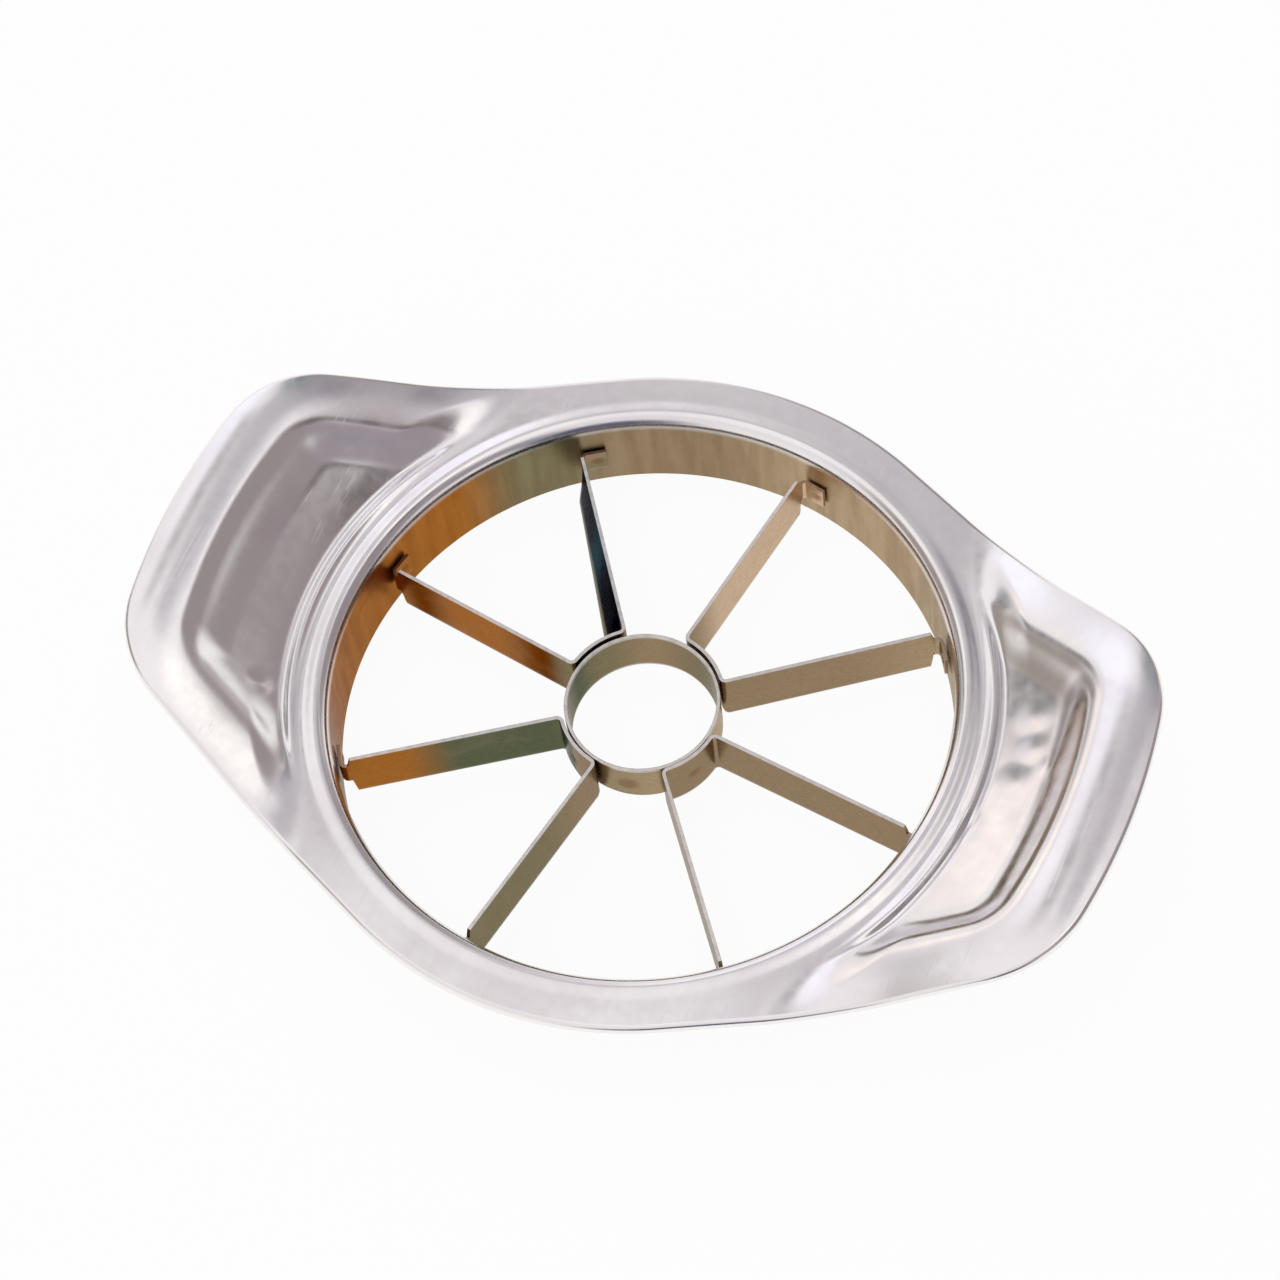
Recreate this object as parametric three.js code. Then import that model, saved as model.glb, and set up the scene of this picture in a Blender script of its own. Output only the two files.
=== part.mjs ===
// Apple slicer: a pressed sheet-steel ring with two turned-up finger wings, a core ring in
// the middle and four bent blade strips that join it to the ring's drawn collar.
// Millimetres. Z is up, X runs through the two wings, and the collar's axis is the Z axis.
import * as THREE from 'three';

// Drawn collar. Every radius further out is a run added to the one before it.
const SHEET_THICKNESS = 0.9;
const COLLAR_INNER_RADIUS = 50;
const COLLAR_STRAIGHT_HEIGHT = 13.5;

// Rolled rim, the shallow valley round it and the flat band of the ring
const LIP_RUN = 2.2;
const LIP_RISE = 2.6;
const CREST_TO_VALLEY_RUN = 2.1;
const VALLEY_DROP = 0.7;
const VALLEY_TO_BAND_RUN = 2.2;
const BAND_DROP = 0.35;
const BAND_WIDTH = 2.8;

// Turned-down outer edge
const EDGE_FOLD_RADIUS = 0.9;
const EDGE_SKIRT_DEPTH = 0.4;

// Plan of the two wings
const WING_REACH = 22.6;
const WING_END_ARC_RADIUS = 110;
const WING_CORNER_RADIUS = 20;
const WING_SIDE_NORMAL = THREE.MathUtils.degToRad(64.4);

// Upward sweep of the wings, read along X, and the run beside the rim that stays level
const WING_RISE = 12.2;
const WING_SWEEP_RUN = 43;
const WING_TIP_FLAT_RUN = 0.8;
const LEVEL_RIM_RUN = 7.8;

// Gentle roll of a wing's flange down to its edge
const FLANGE_DROP = 1;
const FLANGE_ROLL_RUN = 8;
const FULL_ROLL_SWEEP_SHARE = 0.4;

// Hollow finger pocket in each wing
const POCKET_DEPTH = 3.2;
const POCKET_SIDE_INSET = 7.8;
const POCKET_END_INSET = 9.2;
const POCKET_CORNER_RADIUS = 11;
const POCKET_RUN = 8;
const POCKET_FROM_BAND = 0.7;
const POCKET_TIP_BLEND = 1.6;
const POCKET_BRIM_SHARE = 0.18;

// Core ring
const CORE_INNER_RADIUS = 12;
const CORE_WALL = 0.6;
const CORE_HEIGHT = 9;
const CORE_BEVEL_HEIGHT = 1;

// Blade strips, each bent into two neighbouring blades
const STRIP_THICKNESS = 0.6;
const STRIP_BOTTOM = 0.7;
const STRIP_HEIGHT = 10.6;
const STRIP_ABOVE_CORE = 0.6;
const STRIP_BEVEL_HEIGHT = 1.2;
const CUTTING_EDGE_THICKNESS = 0.16;
const BEND_RADIUS = 0.9;
const FITTING_GAP = 0.3;

// Narrow welded tab at each blade's outer end, and the cuts that lead into it
const TAB_LENGTH = 4.2;
const TAB_HEIGHT = 4.6;
const TAB_BELOW_TOP = 2;
const NOTCH_FROM_COLLAR = 2.3;
const LOWER_NOTCH_RUN = 0.4;
const UPPER_NOTCH_RUN = 0.6;
const FIRST_BLADE_ANGLE = THREE.MathUtils.degToRad(35.2);
const STRIP_COUNT = 4;
const BLADES_PER_STRIP = 2;

// How far each strip is set off the even spacing, anticlockwise
const STRIP_TURNS = [0, -0.3, -1.7, 2.3].map((turn) => THREE.MathUtils.degToRad(turn));

// Sizes that follow from those above
const CREST_RADIUS = COLLAR_INNER_RADIUS + LIP_RUN;
const CREST_HEIGHT = COLLAR_STRAIGHT_HEIGHT + LIP_RISE;
const VALLEY_RADIUS = CREST_RADIUS + CREST_TO_VALLEY_RUN;
const BAND_START_RADIUS = VALLEY_RADIUS + VALLEY_TO_BAND_RUN;
const POCKET_START_RADIUS = BAND_START_RADIUS - POCKET_FROM_BAND;
const RING_OUTER_RADIUS = BAND_START_RADIUS + BAND_WIDTH;
const WING_HALF_LENGTH = RING_OUTER_RADIUS + WING_REACH;
const SWEEP_END_X = WING_HALF_LENGTH - WING_TIP_FLAT_RUN;
const SWEEP_START_X = SWEEP_END_X - WING_SWEEP_RUN;
const STRIP_TOP = STRIP_BOTTOM + STRIP_HEIGHT;
const CORE_TOP = STRIP_TOP - STRIP_ABOVE_CORE;
const CORE_BOTTOM = CORE_TOP - CORE_HEIGHT;
const CORE_OUTER_RADIUS = CORE_INNER_RADIUS + CORE_WALL;
const WRAP_RADIUS = CORE_OUTER_RADIUS + FITTING_GAP + STRIP_THICKNESS / 2;
const TAB_RADIUS = COLLAR_INNER_RADIUS - FITTING_GAP - STRIP_THICKNESS / 2;
const TAB_TOP = STRIP_TOP - TAB_BELOW_TOP;
const TAB_BOTTOM = TAB_TOP - TAB_HEIGHT;
const NOTCH_RADIUS = COLLAR_INNER_RADIUS - NOTCH_FROM_COLLAR;

// Mesh fineness, in steps
const WING_STEPS = 40;
const BARE_RING_STEPS = 12;
const LIP_STEPS = 5;
const ZONE_STEPS = 4;
const FOLD_STEPS = 3;
const CORE_STEPS = 72;
const BEND_STEPS = 4;
const WRAP_STEPS = 10;
const TAB_STEPS = 3;
const HALVINGS = 40;
const NORMAL_TURN = 0.004;

// Smallest plan shares, between rim and outer edge, at which the pocket's inner and outer
// halves end
const SMALLEST_ZONE_SHARES = [0.16, 0.36];

function smoothStep(start, end, value) {
  const t = THREE.MathUtils.clamp((value - start) / (end - start), 0, 1);
  return t * t * (3 - 2 * t);
}

function mix(a, b, share) {
  return a + (b - a) * share;
}

// Depth of a plan point inside one wing's outline after both its side and its end have moved
// inwards. The side is a line that runs on into the ring's own circle, and the corner between
// side and end is a true arc. The plan is symmetric in X and in Y.
function depthInsideWing(x, y, sideInset, endInset, cornerRadius) {
  const px = Math.abs(x);
  const py = Math.abs(y);
  const nx = Math.cos(WING_SIDE_NORMAL);
  const ny = Math.sin(WING_SIDE_NORMAL);
  const arcCentre = WING_HALF_LENGTH - WING_END_ARC_RADIUS;
  const pastSide = py * nx - px * ny > 0;
  const sideReach = pastSide ? Math.hypot(px, py) : px * nx + py * ny;
  const side = RING_OUTER_RADIUS - sideInset - sideReach;
  const end = WING_END_ARC_RADIUS - endInset - Math.hypot(px - arcCentre, py);

  const lineDistance = RING_OUTER_RADIUS - sideInset - cornerRadius - arcCentre * nx;
  const circle = WING_END_ARC_RADIUS - endInset - cornerRadius;
  const halfChord = Math.sqrt(circle * circle - lineDistance * lineDistance);
  const cornerX = arcCentre + lineDistance * nx + halfChord * ny;
  const cornerY = lineDistance * ny - halfChord * nx;
  const qx = px - cornerX;
  const qy = py - cornerY;
  const pastEnd = (cornerX - arcCentre) * qy - cornerY * qx > 0;
  const beforeSide = qx * ny - qy * nx > 0;
  if (pastEnd && beforeSide) {
    return cornerRadius - Math.hypot(qx, qy);
  }
  return Math.min(side, end);
}

// Distance along a plan segment, as a share, at which a falling function reaches zero
function crossingShare(valueAt) {
  if (valueAt(0) <= 0) {
    return 0;
  }
  let low = 0;
  let high = 1;
  for (let i = 0; i < HALVINGS; i += 1) {
    const middle = (low + high) / 2;
    if (valueAt(middle) > 0) {
      low = middle;
    } else {
      high = middle;
    }
  }
  return low;
}

// Outer edge of the body in plan: the wing's outline, which runs into the ring's circle
function outlineRadius(angle) {
  const farthest = WING_HALF_LENGTH + WING_CORNER_RADIUS;
  const share = crossingShare((s) => {
    const r = mix(COLLAR_INNER_RADIUS, farthest, s);
    return depthInsideWing(r * Math.cos(angle), r * Math.sin(angle), 0, 0, WING_CORNER_RADIUS);
  });
  return mix(COLLAR_INNER_RADIUS, farthest, share);
}

function outlinePoint(angle) {
  const r = outlineRadius(angle);
  return new THREE.Vector2(r * Math.cos(angle), r * Math.sin(angle));
}

function outlineNormal(angle) {
  const ahead = outlinePoint(angle + NORMAL_TURN);
  const along = ahead.sub(outlinePoint(angle - NORMAL_TURN)).normalize();
  return new THREE.Vector2(along.y, -along.x);
}

// Height of the body's upper face outside the rim's crest
function upperFaceHeight(x, y) {
  const r = Math.hypot(x, y);
  let height = CREST_HEIGHT - VALLEY_DROP * smoothStep(CREST_RADIUS, VALLEY_RADIUS, r);
  height += (VALLEY_DROP - BAND_DROP) * smoothStep(VALLEY_RADIUS, BAND_START_RADIUS, r);
  const outsideRim = smoothStep(VALLEY_RADIUS, VALLEY_RADIUS + LEVEL_RIM_RUN, r);
  const sweep = smoothStep(SWEEP_START_X, SWEEP_END_X, Math.abs(x)) * outsideRim;
  const edgeDepth = depthInsideWing(x, y, 0, 0, WING_CORNER_RADIUS);
  const roll = THREE.MathUtils.clamp(1 - edgeDepth / FLANGE_ROLL_RUN, 0, 1);
  height += WING_RISE * sweep;
  height -= FLANGE_DROP * roll * roll * smoothStep(0, FULL_ROLL_SWEEP_SHARE, sweep);
  return height - POCKET_DEPTH * dishShare(pocketInsideAt(x, y));
}

// Distance of a plan point inside the pocket's outer brim
function pocketOuterDepthAt(x, y) {
  return depthInsideWing(x, y, POCKET_SIDE_INSET, POCKET_END_INSET, POCKET_CORNER_RADIUS);
}

// Distance of a plan point inside the whole pocket: the smaller of its distances from the outer
// brim and from the rim's circle, with the two blended where they meet
function pocketInsideAt(x, y) {
  const outer = pocketOuterDepthAt(x, y);
  const rim = Math.hypot(x, y) - POCKET_START_RADIUS;
  const share = THREE.MathUtils.clamp((1 + (rim - outer) / POCKET_TIP_BLEND) / 2, 0, 1);
  return mix(rim, outer, share) - POCKET_TIP_BLEND * share * (1 - share);
}

// Share of the pocket's depth: it bends quickly at the brim, then eases into the floor
function dishShare(inside) {
  const t = THREE.MathUtils.clamp(inside / POCKET_RUN, 0, 1);
  if (t < POCKET_BRIM_SHARE) {
    return (t * t) / POCKET_BRIM_SHARE;
  }
  return 1 - (1 - t) ** 2 / (1 - POCKET_BRIM_SHARE);
}

// One section through the pressed sheet's visible face, from the collar's foot up over the
// rim, down into the valley, across pocket and flange, and round the turned-down edge
function bodySection(angle) {
  const c = Math.cos(angle);
  const s = Math.sin(angle);
  const points = [];
  const addPolar = (r, z) => points.push(new THREE.Vector3(r * c, r * s, z));
  addPolar(COLLAR_INNER_RADIUS, 0);
  addPolar(COLLAR_INNER_RADIUS, COLLAR_STRAIGHT_HEIGHT);
  for (let i = 1; i <= LIP_STEPS; i += 1) {
    const turn = (Math.PI / 2) * (i / LIP_STEPS);
    addPolar(CREST_RADIUS - LIP_RUN * Math.cos(turn), COLLAR_STRAIGHT_HEIGHT + LIP_RISE * Math.sin(turn));
  }
  const valley = [
    (CREST_RADIUS + VALLEY_RADIUS) / 2,
    VALLEY_RADIUS,
    POCKET_START_RADIUS,
    BAND_START_RADIUS,
  ];
  valley.forEach((r) => addPolar(r, upperFaceHeight(r * c, r * s)));

  const edge = outlinePoint(angle);
  const normal = outlineNormal(angle);
  const start = new THREE.Vector2(BAND_START_RADIUS * c, BAND_START_RADIUS * s);
  const foldStart = edge.clone().addScaledVector(normal, -EDGE_FOLD_RADIUS);
  sectionShares(start, foldStart).forEach((share) => {
    const p = start.clone().lerp(foldStart, share);
    points.push(new THREE.Vector3(p.x, p.y, upperFaceHeight(p.x, p.y)));
  });
  const top = upperFaceHeight(foldStart.x, foldStart.y);
  for (let i = 1; i <= FOLD_STEPS; i += 1) {
    const turn = (Math.PI / 2) * (i / FOLD_STEPS);
    const p = foldStart.clone().addScaledVector(normal, EDGE_FOLD_RADIUS * Math.sin(turn));
    points.push(new THREE.Vector3(p.x, p.y, top - EDGE_FOLD_RADIUS * (1 - Math.cos(turn))));
  }
  points.push(new THREE.Vector3(edge.x, edge.y, top - EDGE_FOLD_RADIUS - EDGE_SKIRT_DEPTH));
  return points;
}

// Shares along the plan line from the band's start to the fold: four for the pocket's inner
// half, four for its outer half and four for the flange, so that the mesh follows the brim
function sectionShares(start, end) {
  const outerDepthAt = (share) => {
    const p = start.clone().lerp(end, share);
    return pocketOuterDepthAt(p.x, p.y);
  };
  const halfway = crossingShare((share) => outerDepthAt(share) - POCKET_RUN);
  const floorEnd = Math.max(halfway, SMALLEST_ZONE_SHARES[0]);
  const brim = Math.max(crossingShare(outerDepthAt), SMALLEST_ZONE_SHARES[1]);
  const stops = [0, floorEnd, brim, 1];
  const shares = [];
  for (let zone = 0; zone < stops.length - 1; zone += 1) {
    for (let i = 1; i <= ZONE_STEPS; i += 1) {
      shares.push(mix(stops[zone], stops[zone + 1], i / ZONE_STEPS));
    }
  }
  return shares;
}

// Section angles round the body, closer together across the wings than along the bare ring
function sectionAngles() {
  const angles = [];
  for (let half = 0; half < 2; half += 1) {
    const wing = Math.PI * half;
    for (let i = 0; i < WING_STEPS; i += 1) {
      angles.push(wing + mix(-WING_SIDE_NORMAL, WING_SIDE_NORMAL, i / WING_STEPS));
    }
    for (let i = 0; i < BARE_RING_STEPS; i += 1) {
      angles.push(wing + mix(WING_SIDE_NORMAL, Math.PI - WING_SIDE_NORMAL, i / BARE_RING_STEPS));
    }
  }
  return angles;
}

// Sheet laid behind a closed ring of sections: each back point lies one thickness behind its
// front point, along the surface's own normal
function backOfSheet(sections, thickness) {
  const count = sections.length;
  return sections.map((section, j) => {
    const before = sections[(j + count - 1) % count];
    const after = sections[(j + 1) % count];
    return section.map((point, i) => {
      const along = after[i].clone().sub(before[i]);
      const upper = section[Math.min(i + 1, section.length - 1)];
      const lower = section[Math.max(i - 1, 0)];
      const normal = along.clone().cross(upper.clone().sub(lower)).normalize();
      const back = point.clone().addScaledVector(normal, thickness);
      if (i === 0) {
        back.z = point.z;
      }
      return back;
    });
  });
}

// Closed mesh of a ring of equally long point loops, joined loop to loop
function ringOfLoops(loops) {
  const size = loops[0].length;
  const vertices = loops.flat();
  const indices = [];
  for (let j = 0; j < loops.length; j += 1) {
    const next = (j + 1) % loops.length;
    for (let i = 0; i < size; i += 1) {
      const k = (i + 1) % size;
      addQuad(indices, vertices, j * size + i, j * size + k, next * size + k, next * size + i);
    }
  }
  return closedGeometry(vertices, indices);
}

// Closed mesh of a row of equally long point loops, with a flat cap at each end
function rowOfLoops(loops) {
  const size = loops[0].length;
  const vertices = loops.flat();
  const indices = [];
  for (let j = 0; j < loops.length - 1; j += 1) {
    for (let i = 0; i < size; i += 1) {
      const k = (i + 1) % size;
      addQuad(indices, vertices, j * size + i, j * size + k, (j + 1) * size + k, (j + 1) * size + i);
    }
  }
  const last = (loops.length - 1) * size;
  for (let i = 1; i < size - 1; i += 1) {
    indices.push(0, i + 1, i);
    indices.push(last, last + i, last + i + 1);
  }
  return closedGeometry(vertices, indices);
}

// Two triangles, split along the shorter diagonal
function addQuad(indices, vertices, a, b, c, d) {
  const first = vertices[a].distanceTo(vertices[c]);
  const second = vertices[b].distanceTo(vertices[d]);
  if (first <= second) {
    indices.push(a, b, c, a, c, d);
  } else {
    indices.push(a, b, d, b, c, d);
  }
}

// Indexed geometry whose faces look outwards
function closedGeometry(vertices, indices) {
  let volume = 0;
  for (let i = 0; i < indices.length; i += 3) {
    const [a, b, c] = [vertices[indices[i]], vertices[indices[i + 1]], vertices[indices[i + 2]]];
    volume += a.dot(b.clone().cross(c));
  }
  if (volume < 0) {
    indices.reverse();
  }
  const geometry = new THREE.BufferGeometry();
  geometry.setAttribute('position', new THREE.Float32BufferAttribute(vertices.flatMap((v) => v.toArray()), 3));
  geometry.setIndex(indices);
  geometry.computeVertexNormals();
  return geometry;
}

// Pressed body: front of the sheet and its back, closed at the collar's foot and at the edge
function bodyGeometry() {
  const front = sectionAngles().map(bodySection);
  const back = backOfSheet(front, SHEET_THICKNESS);
  return ringOfLoops(front.map((section, j) => [...section, ...back[j].slice().reverse()]));
}

// Core ring: a short tube whose lower edge is ground sharp from outside
function coreRingGeometry() {
  const profile = [
    [CORE_INNER_RADIUS, CORE_BOTTOM],
    [CORE_INNER_RADIUS, CORE_TOP],
    [CORE_OUTER_RADIUS, CORE_TOP],
    [CORE_OUTER_RADIUS, CORE_BOTTOM + CORE_BEVEL_HEIGHT],
    [CORE_INNER_RADIUS + CUTTING_EDGE_THICKNESS, CORE_BOTTOM],
  ];
  const loops = [];
  for (let j = 0; j < CORE_STEPS; j += 1) {
    const angle = (2 * Math.PI * j) / CORE_STEPS;
    loops.push(profile.map(([r, z]) => new THREE.Vector3(r * Math.cos(angle), r * Math.sin(angle), z)));
  }
  return ringOfLoops(loops);
}

// One end of a strip in plan, from the tip of its welded tab round the bend, inwards along the
// blade and round the bend onto the core ring. The tab turns clockwise; the core ring's side
// turns the way of turnSign.
function stripEndPath(bladeAngle, turnSign) {
  const path = [];
  const add = (r, angle, low, high) => {
    path.push({ point: new THREE.Vector2(r * Math.cos(angle), r * Math.sin(angle)), low, high });
  };
  const wallTurn = Math.asin(BEND_RADIUS / (TAB_RADIUS - BEND_RADIUS));
  const tabTurn = TAB_LENGTH / TAB_RADIUS;
  for (let i = 0; i < TAB_STEPS; i += 1) {
    add(TAB_RADIUS, bladeAngle - mix(tabTurn, wallTurn, i / TAB_STEPS), TAB_BOTTOM, TAB_TOP);
  }
  const wallCentre = polar(TAB_RADIUS - BEND_RADIUS, bladeAngle - wallTurn);
  for (let i = 0; i <= BEND_STEPS; i += 1) {
    const turn = mix(bladeAngle - wallTurn, bladeAngle + Math.PI / 2, i / BEND_STEPS);
    path.push({ point: polar(BEND_RADIUS, turn).add(wallCentre), low: TAB_BOTTOM, high: TAB_TOP });
  }
  add(NOTCH_RADIUS + UPPER_NOTCH_RUN, bladeAngle, TAB_BOTTOM, TAB_TOP);
  add(NOTCH_RADIUS + LOWER_NOTCH_RUN, bladeAngle, TAB_BOTTOM, notchTop(LOWER_NOTCH_RUN));
  add(NOTCH_RADIUS, bladeAngle, STRIP_BOTTOM, STRIP_TOP);

  const wrapTurn = Math.asin(BEND_RADIUS / (WRAP_RADIUS + BEND_RADIUS));
  const wrapCentre = polar(WRAP_RADIUS + BEND_RADIUS, bladeAngle + turnSign * wrapTurn);
  for (let i = 0; i <= BEND_STEPS; i += 1) {
    const from = bladeAngle - (turnSign * Math.PI) / 2;
    const to = bladeAngle + turnSign * (wrapTurn - Math.PI);
    const point = polar(BEND_RADIUS, mix(from, to, i / BEND_STEPS)).add(wrapCentre);
    path.push({ point, low: STRIP_BOTTOM, high: STRIP_TOP });
  }
  return path;
}

// Height of the sloping cut at the upper corner of a blade's outer end
function notchTop(run) {
  return mix(STRIP_TOP, TAB_TOP, run / UPPER_NOTCH_RUN);
}

function polar(r, angle) {
  return new THREE.Vector2(r * Math.cos(angle), r * Math.sin(angle));
}

// Whole strip in plan: one end, the arc round the core ring, and the other end backwards
function stripPath(firstAngle) {
  const pitch = (2 * Math.PI) / (STRIP_COUNT * BLADES_PER_STRIP);
  const wrapTurn = Math.asin(BEND_RADIUS / (WRAP_RADIUS + BEND_RADIUS));
  const path = stripEndPath(firstAngle, 1);
  for (let i = 1; i < WRAP_STEPS; i += 1) {
    const angle = mix(firstAngle + wrapTurn, firstAngle + pitch - wrapTurn, i / WRAP_STEPS);
    path.push({ point: polar(WRAP_RADIUS, angle), low: STRIP_BOTTOM, high: STRIP_TOP });
  }
  return path.concat(stripEndPath(firstAngle + pitch, -1).reverse());
}

// Section of a strip at one point of its path: full thickness, and ground to a cutting edge
// along the bottom wherever the strip has its full height
function stripSection(path, index) {
  const { point, low, high } = path[index];
  const before = path[Math.max(index - 1, 0)].point;
  const after = path[Math.min(index + 1, path.length - 1)].point;
  const inward = point.clone().sub(before);
  const onward = after.clone().sub(point);
  const along = inward.normalize().add(onward.normalize()).normalize();
  const half = STRIP_THICKNESS / 2;
  const tip = low === STRIP_BOTTOM ? CUTTING_EDGE_THICKNESS / 2 : half;
  const across = new THREE.Vector2(-along.y, along.x);
  const place = (offset, z) => new THREE.Vector3(point.x + across.x * offset, point.y + across.y * offset, z);
  const bevelTop = low + STRIP_BEVEL_HEIGHT;
  return [
    place(-half, high),
    place(-half, bevelTop),
    place(-tip, low),
    place(tip, low),
    place(half, bevelTop),
    place(half, high),
  ];
}

function stripGeometry(firstAngle) {
  const path = stripPath(firstAngle);
  return rowOfLoops(path.map((_, index) => stripSection(path, index)));
}

function addPiece(group, name, geometry, color, roughness) {
  const material = new THREE.MeshStandardMaterial({ color, roughness, metalness: 1 });
  const mesh = new THREE.Mesh(geometry, material);
  mesh.name = name;
  group.add(mesh);
}

function appleSlicer() {
  const group = new THREE.Group();
  group.name = 'apple_slicer';
  addPiece(group, 'body', bodyGeometry(), 0xd6d4da, 0.16);
  addPiece(group, 'core_ring', coreRingGeometry(), 0xb8ae9c, 0.3);
  for (let i = 0; i < STRIP_COUNT; i += 1) {
    const angle = FIRST_BLADE_ANGLE + (2 * Math.PI * i) / STRIP_COUNT + STRIP_TURNS[i];
    addPiece(group, `blade_strip_${i + 1}`, stripGeometry(angle), 0xb5a288, 0.28);
  }
  return group;
}

export default appleSlicer();
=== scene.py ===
"""Looks of a pressed-steel apple slicer and corer, built round its packed frame.

Run as a script by Blender. Lengths are metres, Z is up, X runs through the two wings and the
collar's axis is the Z axis. The body, the core ring and the four blade strips stand for the
frame's nodes of the same names.
"""
import math

import bpy
from bpy.props import FloatProperty, FloatVectorProperty, IntProperty, PointerProperty
from mathutils import Matrix, Vector


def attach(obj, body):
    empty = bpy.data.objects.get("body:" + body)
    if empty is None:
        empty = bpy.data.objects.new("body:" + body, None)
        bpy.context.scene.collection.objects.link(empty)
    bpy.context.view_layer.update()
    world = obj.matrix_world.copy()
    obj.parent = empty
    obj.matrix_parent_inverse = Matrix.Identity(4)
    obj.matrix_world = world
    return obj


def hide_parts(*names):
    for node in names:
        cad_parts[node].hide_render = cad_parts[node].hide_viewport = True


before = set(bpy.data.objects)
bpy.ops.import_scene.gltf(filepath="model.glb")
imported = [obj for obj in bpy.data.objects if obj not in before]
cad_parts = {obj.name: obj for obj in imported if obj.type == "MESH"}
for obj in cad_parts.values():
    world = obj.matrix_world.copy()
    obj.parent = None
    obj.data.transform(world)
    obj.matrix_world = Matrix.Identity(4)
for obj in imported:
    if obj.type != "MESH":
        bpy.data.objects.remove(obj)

bl_info = {
    "name": "Apple slicer",
    "version": (1, 0, 0),
    "blender": (4, 5, 0),
    "location": "3D View > Sidebar > Apple slicer",
    "description": "Builds a pressed-steel apple slicer with its blades, and a plain studio",
    "category": "Add Mesh",
}

ROOT_BODY = "root"
MM = 0.001
WHITE = (1.0, 1.0, 1.0)


def length(label, description, millimetres):
    """A length that a user may change."""
    return FloatProperty(
        name=label, description=description, default=millimetres * MM, min=0.0,
        precision=5, unit="LENGTH", subtype="DISTANCE",
    )


def angle(label, description, degrees):
    return FloatProperty(
        name=label, description=description, default=math.radians(degrees), subtype="ANGLE",
    )


def colour(label, description, red, green, blue):
    """A colour that a user may change, given as it shows on a screen, from 0 to 255."""
    return FloatVectorProperty(
        name=label, description=description, default=screen((red, green, blue)), size=3, min=0.0,
        max=1.0, subtype="COLOR",
    )


def share(label, description, value):
    return FloatProperty(
        name=label, description=description, default=value, min=0.0, max=1.0, subtype="FACTOR",
    )


def steps(label, description, value):
    return IntProperty(name=label, description=description, default=value, min=1)


def to_linear(value):
    """Linear light of one screen colour value from 0 to 255."""
    c = value / 255
    return c / 12.92 if c <= 0.04045 else ((c + 0.055) / 1.055) ** 2.4


def screen(rgb):
    """Linear colour of a screen colour, whose values go from 0 to 255."""
    return [to_linear(c) for c in rgb]


# The packed part's sizes, apart from a shallower valley, a deeper and more even pocket floor, and
# wings lower by a hair, so that nothing passes the packed part's box
class BodySizes(bpy.types.PropertyGroup):
    """Sizes of the pressed body."""

    sheet_thickness: length("Sheet thickness", "Thickness of the pressed sheet", 0.9)
    collar_radius: length("Collar radius", "Inner radius of the drawn collar", 50)
    collar_height: length("Collar height", "Straight height of the drawn collar", 13.5)
    lip_run: length("Lip run", "How far the rolled lip runs outwards to its crest", 2.2)
    lip_rise: length("Lip rise", "How far the lip's crest stands above the straight wall", 2.6)
    crest_to_valley: length("Crest to valley", "Run from the crest to the valley", 2.1)
    valley_drop: length("Valley drop", "Depth of the valley under the crest", 0.4)
    valley_to_band: length("Valley to band", "Run from the valley to the flat band", 2.2)
    band_drop: length("Band drop", "Height of the flat band under the crest", 0.35)
    band_width: length("Band width", "Width of the flat band beside the wings", 2.8)
    fold_radius: length("Fold radius", "Radius of the turned-down outer edge", 0.9)
    skirt_depth: length("Skirt depth", "Straight depth below the fold", 0.4)
    wing_reach: length("Wing reach", "How far a wing reaches beyond the ring", 22.6)
    end_arc_radius: length("End arc radius", "Radius of a wing's end in plan", 110)
    corner_radius: length("Corner radius", "Radius of a wing's corners in plan", 20)
    side_normal: angle("Side direction", "Direction of a wing side's normal from X", 64.4)
    wing_rise: length("Wing rise", "How far a wing's end stands above the ring", 12.15)
    sweep_run: length("Sweep run", "Run along X of the upward sweep", 43)
    tip_flat: length("Tip flat", "Level run at a wing's end", 0.8)
    level_rim: length("Level rim", "Run beside the valley over which the sweep sets in", 7.8)
    flange_drop: length("Flange drop", "How far a wing's flange rolls down to its edge", 1.0)
    flange_roll: length("Flange roll", "Run of that roll inwards from the edge", 8)
    pocket_side: length("Pocket side", "Flange width along a wing's sides", 7.8)
    pocket_end: length("Pocket end", "Flange width at a wing's end", 9.2)
    pocket_corner: length("Pocket corner", "Corner radius of the pocket's brim", 11)
    pocket_wall: length("Pocket wall", "Run of the pocket's outer wall", 7.5)
    pocket_from_band: length("Pocket from band", "Start of the pocket inside the band", 0.7)
    pocket_step_run: length("Pocket step run", "Run of the step beside the rim", 2.4)
    pocket_sill: length("Pocket sill", "Depth of the floor under the band at the rim", 0.7)
    pocket_least: length("Pocket least depth", "Depth of the pocket at its tips", 1.1)
    pocket_slope: share("Pocket slope", "Rise of the floor for each unit outwards", 0.48)
    around_steps: steps("Sections", "Sections round the body", 560)


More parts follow.
